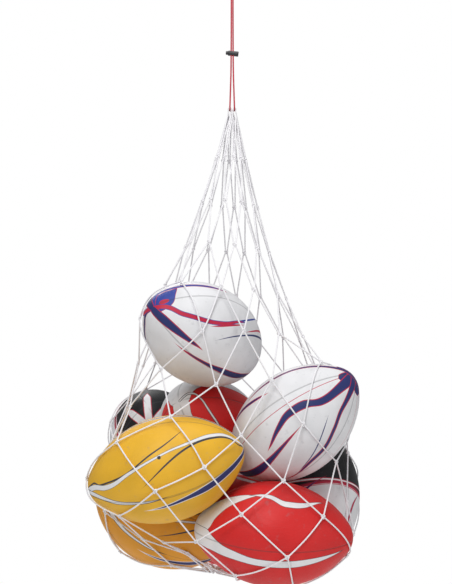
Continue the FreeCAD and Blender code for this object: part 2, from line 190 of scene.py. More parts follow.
RED_BANDS = [
    (WHITE, CHARCOAL, 0.9, 2, [
        (-1, 50, 18), (-0.9, 46, 28), (-0.84, 47, 28), (-0.75, 52, 20), (-0.55, 56, 10.5),
        (-0.38, 56, 5), (-0.2, 55, -2),
    ]),
    (WHITE, CHARCOAL, 0.9, 2, [
        (-0.36, 58, -1), (-0.1, 53, 4.4), (0.12, 44, 5.6), (0.34, 47, 5), (0.6, 66, -1),
    ]),
    (WHITE, CHARCOAL, 0.9, 2, [
        (-1, -14, 18), (-0.86, -12, 18), (-0.78, -16, 14), (-0.68, -20, 10.5), (-0.48, -22, 8),
        (-0.2, -24, 6.4), (0.2, -24, 6.6), (0.45, -23, 5.4), (0.65, -22, 3), (0.88, -21, -1),
    ]),
    (WHITE, CHARCOAL, 1.2, 2, [(0.45, 92, -1), (0.7, 96, 2), (0.95, 96, 3), (1, 96, 3)]),
]
CRIMSON_BANDS = [
    (NAVY, CRIMSON, 1.8, 2, [(0.9, 30, -2), (0.95, 20, 12), (1, 20, 12)]),
    (NAVY, CRIMSON, 1.8, 2, [(0.9, 110, -2), (0.96, 110, 12), (1, 110, 12)]),
    (NAVY, CRIMSON, 1.7, 2, [
        (-0.3, 0, -2), (-0.2, 4, 0.4), (0.02, 13, 3.4), (0.26, 19, 5.6), (0.46, 17, 6.6), (0.62, 7, 6),
        (0.8, 4, 6.6), (1, 4, 10),
    ]),
    (NAVY, CRIMSON, 1.6, 2, [
        (-0.5, -54, -2), (-0.3, -50, 0.5), (0, -43, 2.4), (0.26, -42, 2.8), (0.52, -35, 2.6),
        (0.75, -28, 3), (1, -30, 6),
    ]),
    (NAVY, NAVY, 0, 2, [
        (-0.3, -48, -1), (-0.1, -42, 0.9), (0.17, -34, 1.1), (0.39, -25, 1.1), (0.66, -11, -0.6),
    ]),
    (NAVY, CRIMSON, 1.7, 2, [
        (-1, -22, 5), (-0.85, -19, 7), (-0.65, -16, 7), (-0.3, -9, 3.6), (0, -4, 1), (0.3, 0, -2),
    ]),
    (NAVY, CRIMSON, 1.5, 2, [
        (-0.3, 72, -2), (0, 76, 1.6), (0.25, 78, 2.4), (0.53, 82, 3), (0.8, 84, 3.4), (1, 84, 5),
    ]),
    (NAVY, CRIMSON, 1.6, 2, [
        (-0.85, 84, -2), (-0.6, 77, 2), (-0.35, 70, 3), (-0.1, 62, 2.4), (0.16, 56, -2),
    ]),
]
BLUE_BANDS = [
    (BLUE, CRIMSON, 1.4, 1, [(0.76, -96, -2), (0.84, -88, 9), (0.9, -78, 20), (0.96, -74, 22), (1, -70, 14)]),
    (NAVY, CRIMSON, 1.0, 1, [(-0.2, 100, -2), (0.3, 108, 2), (0.7, 112, 3.4), (0.9, 116, 4), (0.98, 140, 5)]),
    (BLUE, CRIMSON, 1.4, 1, [
        (0.1, -76, -2), (0.3, -80, 2.4), (0.6, -90, 4), (0.8, -106, 5.4), (0.92, -140, 8),
    ]),
    (BLUE, BLUE, 0, 2, [
        (-0.75, -72, -1), (-0.5, -64, 1), (-0.2, -48, 1.8), (0.1, -35, 1.6), (0.3, -26, -0.8),
    ]),
    (CRIMSON, BLUE, 1.2, 2, [
        (-0.12, -40, -2), (0.06, -36, 1.4), (0.33, -26, 3), (0.6, -22, 3.4), (0.78, -22, 3.6),
        (0.95, -36, 4),
    ]),
    (CRIMSON, CRIMSON, 0, 2, [(-0.1, -37, -1), (0.1, -31, 1.5), (0.3, -24, 2), (0.55, -14, -1)]),
    (NAVY, CRIMSON, 1.6, 2, [
        (0.4, 15, -2), (0.52, 14, 1), (0.66, 14, 3.4), (0.82, 14, 6), (0.93, 14, 7), (1, 14, 6),
    ]),
    (NAVY, NAVY, 0, 2, [
        (-0.85, -46, 1.6), (-0.45, -35, 2), (-0.1, -25, 1.5), (0.2, -13, 1), (0.46, 4, -0.8),
    ]),
    (CRIMSON, CRIMSON, 0, 2, [(-0.8, -58, 2), (-0.5, -46, 2), (-0.2, -33, 1.2), (0, -25, -0.8)]),
    (NAVY, CRIMSON, 1.6, 2, [
        (-0.92, 23, 1), (-0.7, 23, 3.4), (-0.3, 24, 6), (-0.05, 24, 5), (0.2, 26, 2.6), (0.45, 29, 1),
        (0.75, 35, -2),
    ]),
    (CRIMSON, CRIMSON, 0, 1, [
        (0.9, -62, -2), (0.93, -62, 4), (0.955, -62, 5), (0.975, -62, 3), (0.985, -62, -2),
    ]),
]
RED_TIP_BANDS = [
    (RED, CHARCOAL, 0.9, 1, [
        (-0.985, 100, -3), (-0.965, 100, 8), (-0.9, 90, 32), (-0.8, 71, 46), (-0.7, 66, 52),
        (0, 60, 60),
    ]),
    (RED, CHARCOAL, 0.9, 1, [
        (-0.975, -50, -2), (-0.95, -50, 13), (-0.9, -50, 28), (-0.8, -49, 45), (-0.7, -48, 56),
        (0, -45, 64),
    ]),
    (WHITE, CHARCOAL, 1.5, 1, [
        (-0.97, -100, 1.2), (-0.93, -90, 2.6), (-0.87, -60, 2.6), (-0.8, -38, 2), (-0.65, -22, 1.4),
        (-0.4, -12, -2),
    ]),
]
BLACK_BANDS = [
    (NAVY, CRIMSON, 1.2, 2, [
        (-0.8, 30, -2), (-0.5, 32, 1.4), (-0.2, 22, 2.6), (0.05, 2, 1.4), (0.2, -20, -2),
    ]),
    (CRIMSON, NAVY, 0.9, 2, [(-0.75, -60, -2), (-0.45, -52, 1.2), (-0.15, -56, 2.2), (0.05, -74, -2)]),
]

# Widest range of a band's half width in mm. Below 0 the band has ended.
HALF_WIDTHS = (-4, 70)

# The black cap's lines, in mm from its border, and its white petals
CAP_WHITE_REACH = 3.3
CAP_CRIMSON_REACH = 4.5
CAP_LINE_DEPTH = 12.0
CAP_LINE_SWING = -7.0
CAP_LINE_HALF = 1.3
CAP_LINE_EDGE = 2.6
PETAL_HALF_ANGLE = 22.5
PETAL_EDGE = 1.6
PETAL_WIDTHS = [(-1, -4), (0.66, -4), (0.74, -1), (0.82, 4), (0.9, 7), (1, 7)]
PETAL_RANGE = (-4, 30)

# ball: (base colour, bands, how far the print is turned round the ball in degrees, 1 or -1 for its direction)
PRINTS = {
    "top_ball": (WHITE, BLUE_BANDS, 0, 1),
    "middle_ball": (WHITE, RED_TIP_BANDS, 0, -1),
    "rear_left_ball": (WHITE, BLACK_BANDS, 0, 1),
    "front_left_ball": (GOLD, GOLDEN_BANDS, 0, 1),
    "right_ball": (WHITE, CRIMSON_BANDS, 0, 1),
    "front_right_ball": (RED, RED_BANDS, 0, 1),
    # this ball's gold base is darkened as painted shade; its print is the same as the front left ball's
    "lower_left_ball": (GOLD_PAINTED_SHADE, GOLDEN_BANDS, -8, 1),
    "lower_right_ball": (WHITE, BLACK_BANDS, 0, 1),
    "rear_right_ball": (WHITE, CRIMSON_BANDS, 40, 1),
    "rear_bottom_ball": (RED, RED_BANDS, 30, 1),
}
# Balls with a black cap round their upper tip: degrees it is tilted off the tip, where its waved border
# lies along the axis, how far it waves, and the angle at which it comes nearest the tip
CAPS = {"rear_left_ball": (18, 0.36, 0.22, 90), "lower_right_ball": (0, 0.0, 0.09, -28)}


# ---------------------------------------------------------------- camera, light and floor


def make_camera():
    data = bpy.data.cameras.new("camera")
    data.lens = LENS
    data.sensor_width = SENSOR
    data.sensor_fit = "HORIZONTAL"
    camera = bpy.data.objects.new("camera", data)
    camera.location = CAMERA
    camera.rotation_euler = (math.radians(90), 0, 0)
    bpy.context.scene.collection.objects.link(camera)
    bpy.context.scene.camera = camera


def area_light(name, place, target, size, watts):
    data = bpy.data.lights.new(name, "AREA")
    data.shape = "DISK"
    data.size = size
    data.energy = watts
    light = bpy.data.objects.new(name, data)
    light.location = place
    light.rotation_euler = (Vector(target) - Vector(place)).to_track_quat("-Z", "Y").to_euler()
    light.visible_camera = False
    bpy.context.scene.collection.objects.link(light)


def make_lights():
    area_light("key", (-0.7, -2.3, 1.0), (0, 0, -0.9), 1.5, 40)
    area_light("top", (0.2, -0.5, 1.6), (0, 0, -0.9), 1.6, 24)
    area_light("fill", (2.2, -1.8, -0.6), (0, 0, -0.9), 1.6, 9)
    area_light("back", (-0.8, 2.4, 0.7), (0, 0, -0.8), 1.6, 20)
    bpy.context.scene.world = white_room()
    bpy.context.scene.view_settings.view_transform = "Standard"


def white_room():
    """A world that is pure white behind the object and lights it softly."""
    world = bpy.data.worlds.new("studio")
    world.use_nodes = True
    nodes, links = world.node_tree.nodes, world.node_tree.links
    seen = nodes.new("ShaderNodeLightPath").outputs["Is Camera Ray"]
    strength = nodes.new("ShaderNodeMapRange")
    strength.inputs["To Min"].default_value = ROOM_LIGHT
    strength.inputs["To Max"].default_value = 1.0
    links.new(seen, strength.inputs["Value"])
    links.new(strength.outputs[0], nodes["Background"].inputs["Strength"])
    nodes["Background"].inputs["Color"].default_value = (1, 1, 1, 1)
    return world


def make_floor():
    middle = (0, 0, FLOOR_Z)
    bpy.ops.mesh.primitive_circle_add(vertices=128, radius=FLOOR_RADIUS, fill_type="NGON", location=middle)
    floor = bpy.context.object
    floor.name = "floor"
    material = new_material("pale_floor")
    shader = material.node_tree.nodes["Principled BSDF"]
    shader.inputs["Base Color"].default_value = (0.9, 0.9, 0.9, 1)
    shader.inputs["Emission Color"].default_value = (1, 1, 1, 1)
    shader.inputs["Emission Strength"].default_value = 0.12
    shader.inputs["Roughness"].default_value = 0.9
    floor.data.materials.append(material)


# ---------------------------------------------------------------- shader graphs


def new_material(name):
    material = bpy.data.materials.new(name)
    material.use_nodes = True
    return material


class Graph:
    """Short calls for building one material's nodes. Values are sockets or plain numbers and colours."""

    def __init__(self, material):
        self.tree = material.node_tree
        self.shader = self.tree.nodes["Principled BSDF"]

    def put(self, socket, value):
        if isinstance(value, bpy.types.NodeSocket):
            self.tree.links.new(value, socket)
        elif isinstance(value, tuple) and len(value) == 3 and socket.type == "RGBA":
            socket.default_value = (*value, 1)
        else:
            socket.default_value = value

    def math(self, operation, *values):
        node = self.tree.nodes.new("ShaderNodeMath")
        node.operation = operation
        for socket, value in zip(node.inputs, values):
            self.put(socket, value)
        return node.outputs[0]

    def ramp(self, value, low, high, to_low=0.0, to_high=1.0):
        """Straight-line map of a value, held at both ends."""
        node = self.tree.nodes.new("ShaderNodeMapRange")
        for socket, item in zip(node.inputs, (value, low, high, to_low, to_high)):
            self.put(socket, item)
        return node.outputs[0]

    def mix(self, factor, a, b):
        node = self.tree.nodes.new("ShaderNodeMix")
        node.data_type = "RGBA"
        self.put(node.inputs["Factor"], factor)
        self.put(node.inputs[6], a)
        self.put(node.inputs[7], b)
        return node.outputs[2]

    def split(self, vector):
        node = self.tree.nodes.new("ShaderNodeSeparateXYZ")
        self.put(node.inputs[0], vector)
        return node.outputs

    def tilted(self, place, tilt, front_angle):
        """The place turned about the ball's sideways direction, which moves the print at the tip down."""
        node = self.tree.nodes.new("ShaderNodeVectorRotate")
        side = math.radians(front_angle + 90)
        node.inputs["Axis"].default_value = (0, math.sin(side), math.cos(side))
        node.inputs["Angle"].default_value = math.radians(tilt)
        self.put(node.inputs["Vector"], place)
        return node.outputs[0]

    def curve(self, value, points, low, high):
        """A smooth curve through (x, y) points, with x from -1 to 1 and y from low to high."""
        node = self.tree.nodes.new("ShaderNodeFloatCurve")
        curve = node.mapping.curves[0]
        places = [((x + 1) / 2, (y - low) / (high - low)) for x, y in points]
        curve.points[0].location = places[0]
        curve.points[1].location = places[-1]
        for place in places[1:-1]:
            curve.points.new(*place)
        for point in curve.points:
            point.handle_type = "AUTO_CLAMPED"
        node.mapping.extend = "HORIZONTAL"
        node.mapping.update()
        self.put(node.inputs["Value"], self.math("MULTIPLY_ADD", value, 0.5, 0.5))
        return self.math("MULTIPLY_ADD", node.outputs[0], high - low, low)

    def noise(self, coordinates, scale, detail=3.0):
        node = self.tree.nodes.new("ShaderNodeTexNoise")
        self.put(node.inputs["Vector"], coordinates)
        node.inputs["Scale"].default_value = scale
        node.inputs["Detail"].default_value = detail
        return node.outputs["Fac"]

    def bump(self, height, distance, strength=1.0, normal=None):
        node = self.tree.nodes.new("ShaderNodeBump")
        node.inputs["Distance"].default_value = distance
        node.inputs["Strength"].default_value = strength
        self.put(node.inputs["Height"], height)
        if normal:
            self.put(node.inputs["Normal"], normal)
        return node.outputs["Normal"]

    def coordinates(self, kind):
        return self.tree.nodes.new("ShaderNodeTexCoord").outputs[kind]

    def attribute(self, name, output="Fac"):
        node = self.tree.nodes.new("ShaderNodeAttribute")
        node.attribute_name = name
        return node.outputs[output]

    def finish(self, **sockets):
        for name, value in sockets.items():
            self.put(self.shader.inputs[name.replace("_", " ")], value)


def soft_edge(graph, distance):
    """1 where the distance in mm is negative, 0 where it is positive, with a narrow blend."""
    return graph.ramp(distance, -0.25, 0.25, 1.0, 0.0)


def ball_material(name, base, bands, turned, direction, front_angle, cap):
    """Pimpled rubber with printed bands. front_angle is the ball's front, in degrees from its valve.

    cap is the ball's entry in CAPS, or None for a ball without one.
    """
    material = new_material(name)
    graph = Graph(material)
    place = graph.attribute("ball_place", "Vector")
    x, y, z = graph.split(graph.tilted(place, cap[0], front_angle) if cap else place)
    along = graph.math("MULTIPLY", x, direction / BALL_HALF)
    squared = graph.math("ADD", graph.math("MULTIPLY", y, y), graph.math("MULTIPLY", z, z))
    radius = graph.math("MULTIPLY", graph.math("SQRT", squared), 1 / MM)
    angle = graph.math("SUBTRACT", graph.math("DEGREES", graph.math("ARCTAN2", y, z)), front_angle + turned)
    arc = graph.math("MULTIPLY", radius, math.pi / 180)

    colour = speckled(graph, place, base)
    if cap:
        colour = black_cap(graph, colour, along, angle, arc, *cap[1:])
    for fill, edge, edge_width, times, points in bands:
        middle = graph.curve(along, [(s, a) for s, a, _ in points], -180, 180)
        half = graph.curve(along, [(s, w) for s, _, w in points], *HALF_WIDTHS)
        half_turn = 180.0 / times
        away = graph.math("SUBTRACT", angle, middle)
        off = graph.math("ABSOLUTE", graph.math("WRAP", away, half_turn, -half_turn))
        distance = graph.math("SUBTRACT", graph.math("MULTIPLY", off, arc), half)
        if edge_width:
            colour = graph.mix(soft_edge(graph, graph.math("SUBTRACT", distance, edge_width)), colour, edge)
        colour = graph.mix(soft_edge(graph, distance), colour, fill)
    seam = graph.attribute("seam")
    colour = graph.mix(graph.math("MULTIPLY", seam, SEAM_SHADE), colour, (0.05, 0.05, 0.05))
    finish_rubber(graph, colour, place, seam)
    return material


def speckled(graph, place, base):
    """The base colour with the faint scuffs and colour drift of a used ball."""
    dark = tuple(c * 0.86 for c in base)
    drift = graph.ramp(graph.noise(place, 14.0), 0.35, 0.7)
    scuffs = graph.ramp(graph.noise(place, 90.0, 6.0), 0.62, 0.75, 0.0, 0.2)
    return graph.mix(scuffs, graph.mix(drift, base, dark), GREY)


def black_cap(graph, colour, along, angle, arc, border_at, swing, nearest):
    """A black cap round the upper tip, with a waved crimson edge and white petals at the tip itself."""
    wave = graph.math("COSINE", graph.math("MULTIPLY", graph.math("SUBTRACT", angle, nearest), math.pi / 90))
    border = graph.math("MULTIPLY_ADD", wave, swing, border_at)
    below = graph.math("MULTIPLY", graph.math("SUBTRACT", border, along), BALL_HALF / MM)
    colour = graph.mix(soft_edge(graph, graph.math("SUBTRACT", below, CAP_CRIMSON_REACH)), colour, CRIMSON)
    colour = graph.mix(soft_edge(graph, graph.math("SUBTRACT", below, CAP_WHITE_REACH)), colour, WHITE)
    colour = graph.mix(graph.ramp(below, 2.0, 3.0, 1.0, 0.0), colour, CRIMSON)
    colour = graph.mix(graph.ramp(below, -5.0, 0.0, 1.0, 0.0), colour, BLACK)
    depth = graph.math("MULTIPLY_ADD", wave, CAP_LINE_SWING, CAP_LINE_DEPTH)
    inner = graph.math("ABSOLUTE", graph.math("ADD", below, depth))
    colour = graph.mix(soft_edge(graph, graph.math("SUBTRACT", inner, CAP_LINE_EDGE)), colour, CRIMSON)
    colour = graph.mix(soft_edge(graph, graph.math("SUBTRACT", inner, CAP_LINE_HALF)), colour, WHITE)
    petal = graph.math("ABSOLUTE", graph.math("WRAP", angle, PETAL_HALF_ANGLE, -PETAL_HALF_ANGLE))
    width = graph.curve(along, PETAL_WIDTHS, *PETAL_RANGE)
    off = graph.math("SUBTRACT", graph.math("MULTIPLY", petal, arc), width)
    colour = graph.mix(soft_edge(graph, graph.math("SUBTRACT", off, PETAL_EDGE)), colour, CRIMSON)
    return graph.mix(soft_edge(graph, off), colour, WHITE)


def finish_rubber(graph, colour, place, seam):
    """Pimples over a fine grain, worn a little smoother in patches."""
    pimples = graph.tree.nodes.new("ShaderNodeTexVoronoi")
    pimples.inputs["Scale"].default_value = 1 / PIMPLE_PITCH
    pimples.inputs["Randomness"].default_value = 0.25
    graph.put(pimples.inputs["Vector"], place)
    height = graph.ramp(pimples.outputs["Distance"], 0.18, 0.42, 1.0, 0.0)
    height = graph.math("MULTIPLY", height, graph.math("SUBTRACT", 1.0, seam))
    grain = graph.bump(graph.noise(place, 900.0), 0.0001, 0.5)
    normal = graph.bump(height, 0.00035, 0.55, grain)
    roughness = graph.ramp(graph.noise(place, 22.0), 0.3, 0.75, 0.42, 0.58)
    graph.finish(Base_Color=colour, Roughness=roughness, Normal=normal, Specular_IOR_Level=0.3)


def twine_material(name, light, dark, groove_shade, gloss):
    """Twisted fibres: fine lines along the lay, darker in the grooves between the strands."""
    material = new_material(name)
    graph = Graph(material)
    uv = graph.coordinates("UV")
    place = graph.coordinates("Object")
    turn, run, _ = graph.split(uv)
    fibres = graph.math("SINE", graph.math("MULTIPLY_ADD", turn, 110.0, graph.math("MULTIPLY", run, 420.0)))
    fuzz = graph.noise(place, 1800.0, 4.0)
    groove = graph.attribute("groove")
    colour = graph.mix(graph.math("MULTIPLY", groove, groove_shade), light, dark)
    colour = graph.mix(graph.ramp(graph.noise(place, 30.0), 0.4, 0.75, 0.0, 0.25), colour, dark)
    height = graph.math("MULTIPLY_ADD", fibres, 0.5, fuzz)
    graph.finish(
        Base_Color=colour,
        Roughness=gloss,
        Normal=graph.bump(height, 0.00012, 0.8),
        Sheen_Weight=0.25,
        Sheen_Roughness=0.5,
    )
    return material


def plastic_material(name, colour, roughness, scale):
    material = new_material(name)
    graph = Graph(material)
    place = graph.coordinates("Object")
    shade = graph.mix(graph.noise(place, 60.0), colour, tuple(min(1, c * 1.6 + 0.004) for c in colour))
    rough = graph.ramp(graph.noise(place, 150.0), 0.3, 0.7, roughness - 0.08, roughness + 0.08)
    normal = graph.bump(graph.noise(place, scale), 0.00006, 0.7)
    graph.finish(Base_Color=shade, Roughness=rough, Normal=normal)
    return material


def steel_material():
    material = new_material("spring_wire")
    graph = Graph(material)
    place = graph.coordinates("Object")
    rough = graph.ramp(graph.noise(place, 700.0), 0.3, 0.7, 0.22, 0.38)
    normal = graph.bump(graph.noise(place, 2500.0), 0.00002, 0.6)
    graph.finish(Base_Color=(0.55, 0.56, 0.58), Metallic=1.0, Roughness=rough, Normal=normal)
    return material


# ---------------------------------------------------------------- cords and twine


def new_object(name, points, faces, materials=()):
    mesh = bpy.data.meshes.new(name)
    mesh.from_pydata(points.tolist(), [], faces)
    mesh.shade_smooth()
    for material in materials:
        mesh.materials.append(material)
    piece = bpy.data.objects.new(name, mesh)
    bpy.context.scene.collection.objects.link(piece)
    return piece


def spline_points(route):
    """Points of the smooth NURBS line that has the route, in mm, as its control points."""
    curve = bpy.data.curves.new("route", "CURVE")
    curve.dimensions = "3D"
    spline = curve.splines.new("NURBS")
    spline.points.add(len(route) - 1)
    for point, place in zip(spline.points, route):
        point.co = (*[value * MM for value in place], 1)
    spline.order_u = 3
    spline.use_endpoint_u = True
    spline.resolution_u = 24
    holder = bpy.data.objects.new("route", curve)
    line = bpy.data.meshes.new_from_object(holder)
    points = np.array([vertex.co[:] for vertex in line.vertices])
    bpy.data.objects.remove(holder)
    bpy.data.meshes.remove(line)
    return points


def distances(line):
    steps = np.linalg.norm(np.diff(line, axis=0), axis=1)
    return np.concatenate([[0], np.cumsum(steps)])


def evenly_spaced(line, step):
    at = distances(line)
    places = np.linspace(0, at[-1], max(4, round(at[-1] / step) + 1))
    return np.stack([np.interp(places, at, line[:, axis]) for axis in range(3)], axis=1)


def smoothed(line, step, width):
    """Softens the line's corners over about that width and leaves its ends where they are."""
    if len(line) < 5 or width <= 0:
        return line
    reach = int(3 * width / step)
    weights = np.exp(-0.5 * (np.arange(-reach, reach + 1) * step / width) ** 2)
    weights /= weights.sum()
    before = 2 * line[0] - line[reach:0:-1] if len(line) > reach else np.repeat(line[:1], reach, 0)
    after = 2 * line[-1] - line[-2 : -2 - reach : -1] if len(line) > reach else np.repeat(line[-1:], reach, 0)
    padded = np.concatenate([before, line, after])
    return np.stack([np.convolve(padded[:, axis], weights, "valid") for axis in range(3)], axis=1)


def ring_axes(line, closed):
    """Two directions across the line at each point, carried along it without twist."""
    if closed:
        ahead = np.roll(line, -1, 0) - np.roll(line, 1, 0)
    else:
        ahead = np.gradient(line, axis=0)
    ahead /= np.linalg.norm(ahead, axis=1, keepdims=True)
    across = np.cross(ahead[0], (0.31, 0.87, 0.38))
    first = np.empty_like(line)
    for n, direction in enumerate(ahead):
        across = across - direction * across.dot(direction)
        across /= np.linalg.norm(across)
        first[n] = across
    return first, np.cross(ahead, first)


def rope(line, sides, surface, closed=False):
    """Points, faces, texture places and groove depths of a tube, and whether it is closed.

    surface(angle, distance along) gives the tube's radius and its groove depth.
    """
    first, second = ring_axes(line, closed)
    along = distances(line)[:, None]
    angles = np.linspace(0, 2 * math.pi, sides, endpoint=False)[None, :]
    radius, groove = surface(angles, along)
    radius = np.broadcast_to(radius, (len(line), sides))
    across = first[:, None] * np.cos(angles)[..., None] + second[:, None] * np.sin(angles)[..., None]
    points = (line[:, None] + across * radius[..., None]).reshape(-1, 3)
    rings = len(line)
    row = np.arange(rings if closed else rings - 1)[:, None]
    side = np.arange(sides)[None, :]
    after, beside = (row + 1) % rings, (side + 1) % sides
    corners = (row * sides + side, row * sides + beside, after * sides + beside, after * sides + side)
    faces = np.stack(np.broadcast_arrays(*corners), -1).reshape(-1, 4)
    turn = np.stack([side, side + 1, side + 1, side], -1) / sides
    run = np.stack([row, row, row + 1, row + 1], -1) * along[1, 0]
    uv = np.stack(np.broadcast_arrays(turn, run), -1).reshape(-1, 2)
    grooves = np.broadcast_to(groove, (rings, sides)).reshape(-1)
    return points, faces, uv, grooves, closed


def join_ropes(name, ropes, material):
    """One object from many tubes, with flat caps on the ends of the open ones."""
    points, faces, uvs, grooves, start = [], [], [], [], 0
    for rope_points, rope_faces, uv, groove, closed in ropes:
        points.append(rope_points)
        faces.extend((rope_faces + start).tolist())
        uvs.append(uv)
        grooves.append(groove)
        if not closed:
            sides = len(rope_faces[rope_faces[:, 0] < rope_faces[0, 3]])
            last = start + len(rope_points)
            faces.append(list(range(start + sides - 1, start - 1, -1)))
            faces.append(list(range(last - sides, last)))
            uvs.append(np.zeros((2 * sides, 2)))
        start += len(rope_points)
    piece = new_object(name, np.concatenate(points), faces, [material])
    layer = piece.data.uv_layers.new(name="UVMap")
    layer.data.foreach_set("uv", np.concatenate(uvs).astype(np.float32).ravel())
    attribute = piece.data.attributes.new("groove", "FLOAT", "POINT")
    attribute.data.foreach_set("value", np.concatenate(grooves).astype(np.float32))
    return piece


def twisted(radius, lay=TWINE_LAY, strands=3):
    """Surface of a laid twine: rounded strands with a groove between each two."""

    def surface(angle, along):
        lobe = np.abs(np.cos(strands / 2 * (angle - 2 * math.pi * along / lay)))
        return radius * (0.84 + 0.16 * lobe), 1 - lobe

    return surface


def braided(radius, carriers=5, pitch=9.0 * MM):
    """Surface of a braided cord: two sets of strands that cross."""

    def surface(angle, along):
        turn = 2 * math.pi * along / pitch
        one = np.abs(np.cos(carriers / 2 * (angle - turn)))
        other = np.abs(np.cos(carriers / 2 * (angle + turn)))
        height = np.maximum(one, other)
        return radius * (0.86 + 0.14 * height), (1 - height) * 1.6

    return surface


def knot_line(centre, out, up, size, stretch, thickness, points=40):
    """A closed overhand knot, flat across out and longer along up."""
    side = np.cross(out, up)
    t = np.linspace(0, 2 * math.pi, points, endpoint=False)[:, None]
    across = (np.sin(t) + 2 * np.sin(2 * t)) * size
    along = (np.cos(t) - 2 * np.cos(2 * t)) * size * stretch
    return centre + side * across + up * along - out * np.sin(3 * t) * thickness


def corner_arrays(mesh):
    """Vertex places, and each triangle's vertex numbers and corner normals."""
    places = np.empty(len(mesh.vertices) * 3, np.float32)
    mesh.vertices.foreach_get("co", places)
    normals = np.empty(len(mesh.loops) * 3, np.float32)
    mesh.corner_normals.foreach_get("vector", normals)
    corners = np.empty(len(mesh.loops), np.int32)
    mesh.loops.foreach_get("vertex_index", corners)
    return places.reshape(-1, 3).astype(float), corners.reshape(-1, 3), normals.reshape(-1, 3, 3)


def same_place(places):
    """A number for each vertex that vertices at the same place share."""
    return np.unique(np.round(places / (0.001 * MM)).astype(np.int64), axis=0, return_inverse=True)[1].ravel()


def groups_of(count, pairs):
    """A group number for each of count things, the same wherever pairs link them."""
    group = np.arange(count)
    while True:
        lowest = np.minimum(group[pairs[:, 0]], group[pairs[:, 1]])
        updated = group.copy()
        np.minimum.at(updated, pairs[:, 0], lowest)
        np.minimum.at(updated, pairs[:, 1], lowest)
        updated = updated[updated]
        if (updated == group).all():
            return group
        group = updated


def edge_pairs(triangles):
    return np.concatenate([triangles[:, [0, 1]], triangles[:, [1, 2]], triangles[:, [2, 0]]])


def centre_lines(node, radius):
    """The centre lines of a CAD node's tubes. A wall's corner lies one radius from the centre."""
    places, triangles, normals = corner_arrays(frame["nodes"][node].data)
    wall = np.abs(normals - normals[:, :1]).max((1, 2)) > 0.001
    triangles, normals = triangles[wall], normals[wall]
    middles = (places[triangles] - normals * radius).reshape(-1, 3)
    vertex = same_place(places)[triangles]
    count = vertex.max() + 1
    uses = np.maximum(np.bincount(vertex.ravel(), minlength=count), 1)
    middle = np.stack([np.bincount(vertex.ravel(), middles[:, axis], count) / uses for axis in range(3)], 1)
    pairs = edge_pairs(vertex)
    together = np.linalg.norm(middle[pairs[:, 0]] - middle[pairs[:, 1]], axis=1) < SAME_RING
    ring = groups_of(count, pairs[together])
    centres = {place: middle[ring == place].mean(0) for place in np.unique(ring[pairs])}
    links = {place: [] for place in centres}
    for a, b in np.unique(np.sort(ring[pairs[~together]], axis=1), axis=0).tolist():
        if a != b:
            links[a].append(b)
            links[b].append(a)
    return [np.array([centres[place] for place in chain]) for chain in chains(links, centres)]


def chains(links, centres):
    """Walks each run of linked rings from one end to the other, always to the nearest one left."""
    seen, found = set(), []
    for start in sorted(links, key=lambda ring: len(links[ring])):
        if start in seen:
            continue
        chain = [start]
        seen.add(start)
        while True:
            here = centres[chain[-1]]
            following = [ring for ring in links[chain[-1]] if ring not in seen]
            if not following:
                break
            chain.append(min(following, key=lambda ring: np.linalg.norm(centres[ring] - here)))
            seen.add(chain[-1])
        found.append(chain)
    return found


def solid_middles(node):
    """Box middles of a CAD node's separate solids."""
    places, triangles, _ = corner_arrays(frame["nodes"][node].data)
    vertex = same_place(places)
    group = groups_of(vertex.max() + 1, edge_pairs(vertex[triangles]))[vertex]
    return [(places[group == n].min(0) + places[group == n].max(0)) / 2 for n in np.unique(group)]


def make_cords(cord_material):
    loop_line = evenly_spaced(spline_points(LOOP_ROUTE), CORD_STEP)
    loop = join_ropes("hanging_loop_cord", [rope(loop_line, 30, braided(CORD_D / 2))], cord_material)
    cord_line = evenly_spaced(spline_points(DRAWCORD_ROUTE), CORD_STEP)
    drawcord = join_ropes("drawcord_cord", [rope(cord_line, 30, braided(CORD_D / 2))], cord_material)
    knot = make_top_knot(cord_material)
    finish_piece(loop, "hanging_loop", "drawcord_red", "hanging_loop")
    finish_piece(drawcord, "bag", "drawcord_red", "drawcord")
    finish_piece(knot, "knot", "drawcord_red", "top_knot")


def make_top_knot(material):
    """Both strands tied in one overhand knot."""
    centre = np.array(KNOT_CENTRE)
    out, up = np.array((0, -1.0, 0)), np.array((0, 0, 1.0))
    ropes = []
    shape = (TOP_KNOT_SIZE, TOP_KNOT_STRETCH, TOP_KNOT_THICKNESS)
    for shift in (-TOP_KNOT_SHIFT, TOP_KNOT_SHIFT):
        line = knot_line(centre + out * shift, out, up, *shape, points=90)
        ropes.append(rope(line, 20, braided(KNOT_STRAND_R), closed=True))
    return join_ropes("top_knot_cord", ropes, material)


def finish_piece(piece, body, slot, *nodes):
    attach(piece, body)
    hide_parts(*nodes)


def make_net(material):
    surface = twisted(TWINE_R)
    headings = []
    for node in NET_NODES:
        ropes = []
        tight = node in ("mouth_meshes", "bottom_meshes")
        for line in centre_lines(node, TWINE_D / 2):
            step = TIGHT_STEP if tight else TWINE_STEP
            even = evenly_spaced(line, step)
            even = smoothed(even, step, TIGHT_STEP if tight else SMOOTHING)
            ropes.append(rope(even, 12, surface))
            headings += [(even[0], even[4] - even[0]), (even[-1], even[-1] - even[-5])]
        finish_piece(join_ropes(node + "_twine", ropes, material), "bag", "twine_white", node)
    make_net_knots(material, headings)
    make_gather_ring(material)


